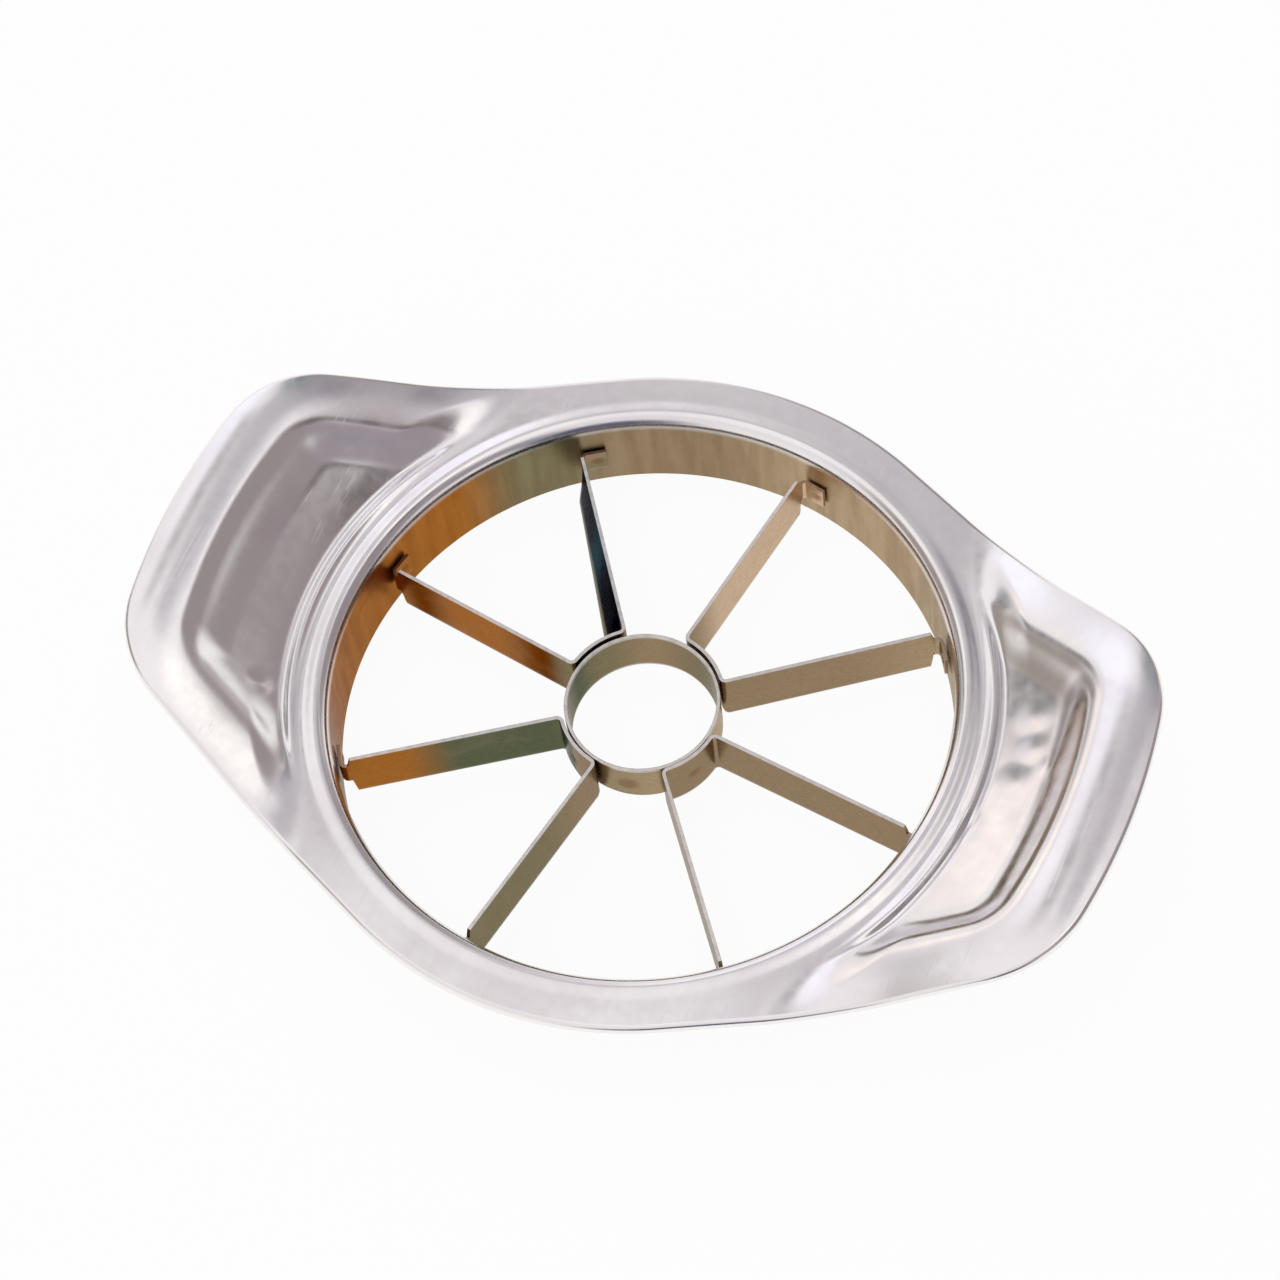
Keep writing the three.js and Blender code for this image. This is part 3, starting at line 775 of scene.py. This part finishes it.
class BladeShape:
    """Core ring and blade strips."""

    STRIPS = 4
    BLADES_PER_STRIP = 2
    BEND_STEPS = 7
    WRAP_STEPS = 28
    TAB_STEPS = 14
    BLADE_STEPS = 26
    FACE_ROWS = 15
    BEVEL_ROWS = 3
    EDGE_ROW = 0.12 * MM
    # Where the lean starts, in bend radii beyond the wrap, the run over which it sets in and
    # ends, and its share left at the collar
    LEAN_START = 1.2
    LEAN_RUN = 2.4 * MM
    LEAN_LEAST = 0.5
    # Where a weld sits along a tab, how much distances along the strip count in a dimple, so
    # that it is longer that way, its flat middle, and the share that shows on the other side
    TAB_WELD = 0.62
    DIMPLE_STRETCH = 0.75
    DIMPLE_FLAT = 0.25
    DIMPLE_BACK = 0.2

    def __init__(self, sizes):
        for name in BladeSizes.__annotations__:
            setattr(self, name, getattr(sizes, name))
        collar_radius = bpy.context.scene.slicer_body.collar_radius
        half = self.strip_thickness / 2
        self.strip_top = self.strip_bottom + self.strip_height
        self.core_top = self.strip_top - self.above_core
        self.core_bottom = self.core_top - self.core_height
        self.core_outer = self.core_radius + self.core_wall
        self.wrap_radius = self.core_outer + self.fitting_gap + half
        self.tab_radius = collar_radius - self.fitting_gap - half
        self.tab_top = self.strip_top - self.tab_below_top
        self.tab_bottom = self.tab_top - self.tab_height
        self.notch_radius = collar_radius - self.notch_inset
        self.pitch = 2 * math.pi / (self.STRIPS * self.BLADES_PER_STRIP)
        self.wrap_turn = math.asin(self.bend_radius / (self.wrap_radius + self.bend_radius))

    def end_path(self, blade, sign):
        """Plan path of one strip end, from its tab's tip inwards, as (point, low, high)."""
        tab = (self.tab_bottom, self.tab_top)
        full = (self.strip_bottom, self.strip_top)
        wall_turn = math.asin(self.bend_radius / (self.tab_radius - self.bend_radius))
        tab_turn = self.tab_length / self.tab_radius
        path = [(polar(self.tab_radius, blade - mix(tab_turn, wall_turn, i / self.TAB_STEPS)), *tab)
                for i in range(self.TAB_STEPS)]
        centre = polar(self.tab_radius - self.bend_radius, blade - wall_turn)
        for i in range(self.BEND_STEPS + 1):
            turn = mix(blade - wall_turn, blade + math.pi / 2, i / self.BEND_STEPS)
            path.append((centre + polar(self.bend_radius, turn), *tab))
        path.append((polar(self.notch_radius + self.upper_notch_run, blade), *tab))
        lower_top = mix(self.strip_top, self.tab_top, self.lower_notch_run / self.upper_notch_run)
        path.append((polar(self.notch_radius + self.lower_notch_run, blade),
                     self.tab_bottom, lower_top))
        centre = polar(self.wrap_radius + self.bend_radius, blade + sign * self.wrap_turn)
        inner = (self.wrap_radius + self.bend_radius) * math.cos(self.wrap_turn)
        for i in range(self.BLADE_STEPS):
            path.append((polar(mix(self.notch_radius, inner, i / self.BLADE_STEPS), blade), *full))
        for i in range(self.BEND_STEPS + 1):
            turn = mix(blade - sign * math.pi / 2, blade + sign * (self.wrap_turn - math.pi),
                       i / self.BEND_STEPS)
            path.append((centre + polar(self.bend_radius, turn), *full))
        return path

    def strip_path(self, first):
        """Whole strip in plan: one end, the wrap round the core ring, and the other end."""
        path = self.end_path(first, 1)
        start, end = first + self.wrap_turn, first + self.pitch - self.wrap_turn
        for i in range(1, self.WRAP_STEPS):
            point = polar(self.wrap_radius, mix(start, end, i / self.WRAP_STEPS))
            path.append((point, self.strip_bottom, self.strip_top))
        return path + self.end_path(first + self.pitch, -1)[::-1]

    def strip_loops(self, first, lean):
        """Section loops of a strip, with a dimple at each spot weld, and their weld masks.

        lean is how far the first blade's cutting edge stands off its top edge.
        """
        path = self.strip_path(first)
        half = self.strip_thickness / 2
        middle = first + self.pitch / 2
        weld_height = (self.core_bottom + self.core_top) / 2
        tab_height = (self.tab_bottom + self.tab_top) / 2
        tab_turn = self.tab_length * self.TAB_WELD / self.tab_radius
        welds = [(polar(self.wrap_radius, middle), weld_height, 1.0)]
        for blade in (first, first + self.pitch):
            welds.append((polar(self.tab_radius, blade - tab_turn), tab_height, -1.0))
        loops, masks = [], []
        for index, (point, low, high) in enumerate(path):
            before = path[max(index - 1, 0)][0]
            after = path[min(index + 1, len(path) - 1)][0]
            along = Vector((0.0, 0.0))
            for step in (point - before, after - point):
                if step.length > 0:
                    along += step.normalized()
            along.normalize()
            across = Vector((-along.y, along.x))
            tip = self.cutting_edge / 2 if low == self.strip_bottom else half
            bevel_top = low + self.strip_bevel
            leaning = lean * self.lean_share(point, first)
            rows = [(high, half)]
            rows += [(mix(high - self.EDGE_ROW, bevel_top, i / self.FACE_ROWS), half)
                     for i in range(self.FACE_ROWS)]
            rows += [(mix(bevel_top, low, i / self.BEVEL_ROWS), mix(half, tip, i / self.BEVEL_ROWS))
                     for i in range(self.BEVEL_ROWS + 1)]
            loop, mask = [], []
            for side, ordered in ((-1.0, rows), (1.0, rows[::-1])):
                for z, reach in ordered:
                    p = point + across * (side * reach)
                    amount = 0.0
                    for centre, height, facing in welds:
                        outward = facing * (p - point).dot(centre) > 0
                        off = math.hypot(
                            (point - centre).length * self.DIMPLE_STRETCH, z - height)
                        near = 1 - smooth_step(
                            self.DIMPLE_FLAT * self.weld_radius, self.weld_radius, off)
                        amount = max(amount, near if outward else near * self.DIMPLE_BACK)
                    p = p - across * (side * self.weld_depth * amount)
                    p = p - across * (leaning * (self.strip_top - z) / self.strip_height)
                    loop.append(Vector((p.x, p.y, z)))
                    mask.append(amount)
            loops.append(loop)
            masks.append(mask)
        return loops, masks

    def past_middle(self, point, first):
        """Whether a point of the strip lies on its second blade's side."""
        return point.angle_signed(polar(1.0, first + self.pitch / 2)) > 0

    def lean_share(self, point, first):
        """Share of the first blade's lean at a point: none at its bends, tab and wrap."""
        if self.past_middle(point, first):
            return 0.0
        reach = point.length
        start = self.wrap_radius + self.LEAN_START * self.bend_radius
        end = self.notch_radius
        run = self.LEAN_RUN
        taper = mix(1.0, self.LEAN_LEAST, (reach - start) / (end - start))
        return taper * smooth_step(start, start + run, reach) * (
            1 - smooth_step(end - run, end, reach))


# Painted reflection colours along each blade, as (distance from the axis in millimetres, tint), two
# blades a strip
BLADE_PAINTED_REFLECTIONS = [
    [(0, "khaki"), (30, "khaki"), (60, "straw")],
    [(0, "khaki"), (14, "khaki"), (24, "cream"), (50, "cream")],
    [(0, "khaki"), (13, "khaki"), (15, "navy"), (24, "navy"), (31, "indigo"), (38, "navy"),
     (44, "navy"), (48, "khaki")],
    [(0, "moss"), (14, "olive"), (19, "umber"), (29, "amber"), (36, "amber"), (44, "umber"),
     (50, "amber")],
    [(0, "moss"), (30, "moss"), (40, "amber"), (50, "amber")],
    [(0, "moss"), (16, "khaki"), (30, "olive"), (50, "olive")],
    [(0, "olive"), (16, "khaki"), (50, "khaki")],
    [(0, "khaki"), (50, "khaki")],
]
# Painted reflection colours round the core ring, as (degrees from X, tint)
CORE_PAINTED_REFLECTIONS_INSIDE = [
    (0, "olive"), (60, "olive"), (105, "khaki"), (145, "olive"), (175, "moss"), (205, "olive"),
    (360, "olive"),
]
CORE_PAINTED_REFLECTIONS_OUTSIDE = [(0, "straw"), (180, "olive"), (360, "straw")]


class SLICER_OT_core_ring(bpy.types.Operator):
    """Build the ring that cuts out the core"""

    bl_idname = "apple_slicer.core_ring"
    bl_label = "Core ring"

    AROUND = 160
    ROWS = 16
    ROUNDING = 0.09 * MM
    # Direction and radius of the weld mark on the outside, and its flat middle's share
    WELD_TURN = math.radians(281)
    WELD_SPOT = 2.2 * MM
    WELD_FLAT = 0.5

    def execute(self, context):
        shape = BladeShape(context.scene.slicer_blades)
        finishes = context.scene.slicer_finishes
        inner, outer = shape.core_radius, shape.core_outer
        bottom, top = shape.core_bottom, shape.core_top
        profile = [(inner, mix(bottom, top, i / self.ROWS)) for i in range(self.ROWS + 1)]
        profile += [(outer, mix(top, bottom + shape.core_bevel, i / self.ROWS))
                    for i in range(self.ROWS + 1)]
        profile.append((inner + shape.cutting_edge, bottom))
        edge = [1.0 if z in (top, bottom) else 0.0 for _, z in profile]
        loops, tints, welds = [], [], []
        for j in range(self.AROUND):
            turn = 2 * math.pi * j / self.AROUND
            loops.append([Vector((*polar(r, turn), z)) for r, z in profile])
            # Painted reflection colours inside and outside the ring
            inside = tint_mix(finishes, CORE_PAINTED_REFLECTIONS_INSIDE, math.degrees(turn))
            outside = tint_mix(finishes, CORE_PAINTED_REFLECTIONS_OUTSIDE, math.degrees(turn))
            tints.append([inside] * (self.ROWS + 1) + [outside] * (self.ROWS + 2))
            along = (turn - self.WELD_TURN) * outer
            offs = [math.hypot(along, z - (bottom + top) / 2) if i > self.ROWS else outer
                    for i, (_, z) in enumerate(profile)]
            welds.append([1 - smooth_step(self.WELD_FLAT * self.WELD_SPOT, self.WELD_SPOT, off)
                          for off in offs])
        masks = {"edge": [edge] * self.AROUND, "weld": welds}
        piece = build_mesh("core_tube", loops, True, tints, masks)
        material = strip_steel("core_steel", finishes)
        finish_piece(piece, "core_ring", material, self.ROUNDING)
        return {"FINISHED"}


class SLICER_OT_blades(bpy.types.Operator):
    """Build the four strips, each bent into two neighbouring blades"""

    bl_idname = "apple_slicer.blades"
    bl_label = "Blade strips"

    ROUNDING = 0.07 * MM
    # How bright the tabs' edges are beside the blades'
    TAB_EDGE = 0.25
    # The strip whose first blade leans, how far its lower rows lose the tint, and the heights
    # above its cutting edge between which they do
    LEANING = 1
    PALE_SHARE = 0.8
    PALE_BELOW = 1.5 * MM
    PALE_END = 3.5 * MM

    def execute(self, context):
        shape = BladeShape(context.scene.slicer_blades)
        finishes = context.scene.slicer_finishes
        material = strip_steel("blade_steel", finishes)
        for index, strip_turn in enumerate(shape.strip_turns):
            first = shape.first_blade + 2 * math.pi * index / shape.STRIPS + strip_turn
            leans = index == self.LEANING
            loops, welds = shape.strip_loops(first, shape.blade_lean if leans else 0.0)
            tints, edges = [], []
            for loop in loops:
                centre = sum((Vector(p.xy) for p in loop), Vector((0.0, 0.0))) / len(loop)
                second = shape.past_middle(centre, first)
                # Painted reflection colour along the blade
                stops = BLADE_PAINTED_REFLECTIONS[shape.BLADES_PER_STRIP * index + second]
                tint = tint_mix(finishes, stops, centre.length / MM)
                low, high = min(p.z for p in loop), max(p.z for p in loop)
                paler = self.PALE_SHARE if leans and not second else 0.0
                tints.append([
                    mix_colours(tint, finishes.olive, paler * (1 - smooth_step(
                        low + self.PALE_BELOW, low + self.PALE_END, p.z))) for p in loop])
                # Bright top and lower edges, rubbed bare steel that is partly painted highlight,
                # fainter on the tabs
                bright = 1.0 if low == shape.strip_bottom else self.TAB_EDGE
                edges.append([bright if p.z in (low, high) else 0.0 for p in loop])
            piece = build_mesh(f"blade_pair_{index + 1}", loops, False, tints,
                               {"edge": edges, "weld": welds})
            finish_piece(piece, f"blade_strip_{index + 1}", material,
                         self.ROUNDING)
        return {"FINISHED"}


# Soft cards of the studio that the polished steel mirrors: direction as turn from X and height
# above the horizon in degrees, inner and outer half width in degrees, and screen colour
STUDIO_CARDS = [
    (28, 32, 24, 38, (154, 144, 146)),
    (14, 58, 4, 12, (108, 100, 101)),
    (84, 50, 4, 14, (140, 136, 144)),
    (95, 64, 5, 11, (172, 168, 174)),
    (109, 59, 3, 9, (176, 171, 175)),
    (131, 56, 2, 8, (152, 147, 150)),
    (178, 38, 3, 9, (104, 116, 118)),
    (132, 38, 5, 14, (266, 266, 276)),
    (150, 22, 4, 11, (275, 264, 258)),
    (168, 31, 5, 11, (132, 136, 136)),
    (170, 2, 10, 19, (150, 138, 136)),
    (38, 72, 4, 12, (268, 264, 261)),
    (100, 44, 4, 12, (112, 120, 124)),
    (-22, 38, 12, 26, (158, 150, 156)),
    (86, 22, 12, 26, (160, 150, 151)),
    (-165, 30, 12, 26, (160, 150, 142)),
    (-59, 12, 12, 32, (92, 94, 114)),
]
CEILING = (238, 234, 236)
HORIZON = (250, 248, 246)
# Height of a direction, as the sine of its angle, from which the room has the ceiling's colour
CEILING_FROM = 0.7


def studio_world(scene):
    """White background for the camera, and a pale room with soft cards for everything else."""
    scene.world = bpy.data.worlds.new("studio")
    b = blank_nodes(scene.world)
    ray = b.add("ShaderNodeTexCoord").outputs["Generated"]
    height = b.add("ShaderNodeSeparateXYZ", {"Vector": ray}).outputs["Z"]
    room = b.blend(b.ramp(height, 0.0, CEILING_FROM), screen(HORIZON), screen(CEILING))
    for card in STUDIO_CARDS:
        turn, rise, inner, outer = (math.radians(degrees) for degrees in card[:4])
        towards = (math.cos(turn) * math.cos(rise), math.sin(turn) * math.cos(rise),
                   math.sin(rise))
        mask = use_group(b, "studio_card", Ray=ray, Towards=towards, Outer=math.cos(outer),
                         Inner=math.cos(inner))["Mask"]
        room = b.blend(mask, room, screen(card[4]))
    seen = b.add("ShaderNodeLightPath").outputs["Is Camera Ray"]
    light = b.add("ShaderNodeBackground", {"Color": b.blend(seen, room, WHITE)})
    b.add("ShaderNodeOutputWorld", {"Surface": light.outputs["Background"]})


# The floor's glow, a little over white because only its share below reaches the camera
FLOOR_GLOW = 1.02
FLOOR_GLOW_SHARE = 0.92


def pale_floor_material(floor_colour):
    """White to the camera and in reflections, with a faint shadow."""
    material = bpy.data.materials.new("pale_floor")
    b = blank_nodes(material)
    path = b.add("ShaderNodeLightPath").outputs
    shown = b.math("ADD", path["Is Camera Ray"], path["Is Glossy Ray"], clamp=True)
    shown = b.math("ADD", shown, path["Is Transmission Ray"], clamp=True)
    plain = b.add("ShaderNodeBsdfDiffuse", {"Color": floor_colour})
    glow = b.add("ShaderNodeEmission", {"Color": WHITE, "Strength": FLOOR_GLOW})
    amount = b.math("MULTIPLY", shown, FLOOR_GLOW_SHARE)
    mixed = b.add("ShaderNodeMixShader")
    for socket, value in zip(mixed.inputs, (amount, plain.outputs[0], glow.outputs[0])):
        b.set(socket, value)
    b.add("ShaderNodeOutputMaterial", {"Surface": mixed.outputs[0]})
    return material


SENSOR_WIDTH = 36.0
CAMERA_PLACE = Vector((140.661, -235.863, 507.983)) * MM
CAMERA_AIM = Vector((-4.057, 9.287, 13.0)) * MM
CAMERA_ROLL = math.radians(-8.858)


class SLICER_OT_studio(bpy.types.Operator):
    """Build the pale floor, the soft light and the camera"""

    bl_idname = "apple_slicer.studio"
    bl_label = "Studio"

    FLOOR_DROP = 0.2 * MM
    LAMP_PLACE = Vector((-0.2, 0.25, 1.1))

    def execute(self, context):
        scene = context.scene
        settings = scene.slicer_studio
        half = settings.floor_size / 2
        corners = [(-half, -half, 0), (half, -half, 0), (half, half, 0), (-half, half, 0)]
        mesh = bpy.data.meshes.new("floor")
        mesh.from_pydata(corners, [], [(0, 1, 2, 3)])
        mesh.materials.append(pale_floor_material(settings.floor_colour))
        floor = bpy.data.objects.new("floor", mesh)
        floor.location.z = -self.FLOOR_DROP
        scene.collection.objects.link(floor)

        lamp = bpy.data.lights.new("overhead_lamp", "AREA")
        lamp.size = settings.lamp_size
        lamp.energy = settings.lamp_power
        holder = bpy.data.objects.new("overhead_lamp", lamp)
        holder.location = self.LAMP_PLACE
        holder.rotation_mode = "QUATERNION"
        holder.rotation_quaternion = holder.location.to_track_quat("Z", "Y")
        scene.collection.objects.link(holder)

        studio_world(scene)
        self.add_camera(scene, settings)
        scene.view_settings.view_transform = "Standard"
        return {"FINISHED"}

    def add_camera(self, scene, settings):
        data = bpy.data.cameras.new("camera")
        data.sensor_width = SENSOR_WIDTH
        data.lens = settings.lens
        camera = bpy.data.objects.new("camera", data)
        look = (CAMERA_AIM - CAMERA_PLACE).to_track_quat("-Z", "Y").to_matrix().to_4x4()
        camera.matrix_world = (
            Matrix.Translation(CAMERA_PLACE) @ look @ Matrix.Rotation(CAMERA_ROLL, 4, "Z"))
        scene.collection.objects.link(camera)
        scene.camera = camera


class SLICER_PT_panel(bpy.types.Panel):
    """Sizes, finishes and builders of the apple slicer"""

    bl_idname = "SLICER_PT_panel"
    bl_label = "Apple slicer"
    bl_space_type = "VIEW_3D"
    bl_region_type = "UI"
    bl_category = "Apple slicer"

    def draw(self, context):
        scene = context.scene
        for operator in OPERATORS:
            self.layout.operator(operator.bl_idname)
        for name, group in SETTINGS.items():
            box = self.layout.box()
            box.label(text=group.__doc__.strip())
            for prop in group.__annotations__:
                box.prop(getattr(scene, name), prop)


SETTINGS = {
    "slicer_body": BodySizes,
    "slicer_blades": BladeSizes,
    "slicer_finishes": Finishes,
    "slicer_studio": StudioSettings,
}
OPERATORS = (SLICER_OT_body, SLICER_OT_core_ring, SLICER_OT_blades, SLICER_OT_studio)
CLASSES = (*SETTINGS.values(), *OPERATORS, SLICER_PT_panel)


def register():
    for cls in CLASSES:
        bpy.utils.register_class(cls)
    for name, group in SETTINGS.items():
        setattr(bpy.types.Scene, name, PointerProperty(type=group))


def unregister():
    for name in SETTINGS:
        delattr(bpy.types.Scene, name)
    for cls in reversed(CLASSES):
        bpy.utils.unregister_class(cls)


def main():
    register()
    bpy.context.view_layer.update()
    bpy.ops.apple_slicer.body()
    bpy.ops.apple_slicer.core_ring()
    bpy.ops.apple_slicer.blades()
    bpy.ops.apple_slicer.studio()


if __name__ == "__main__":
    main()
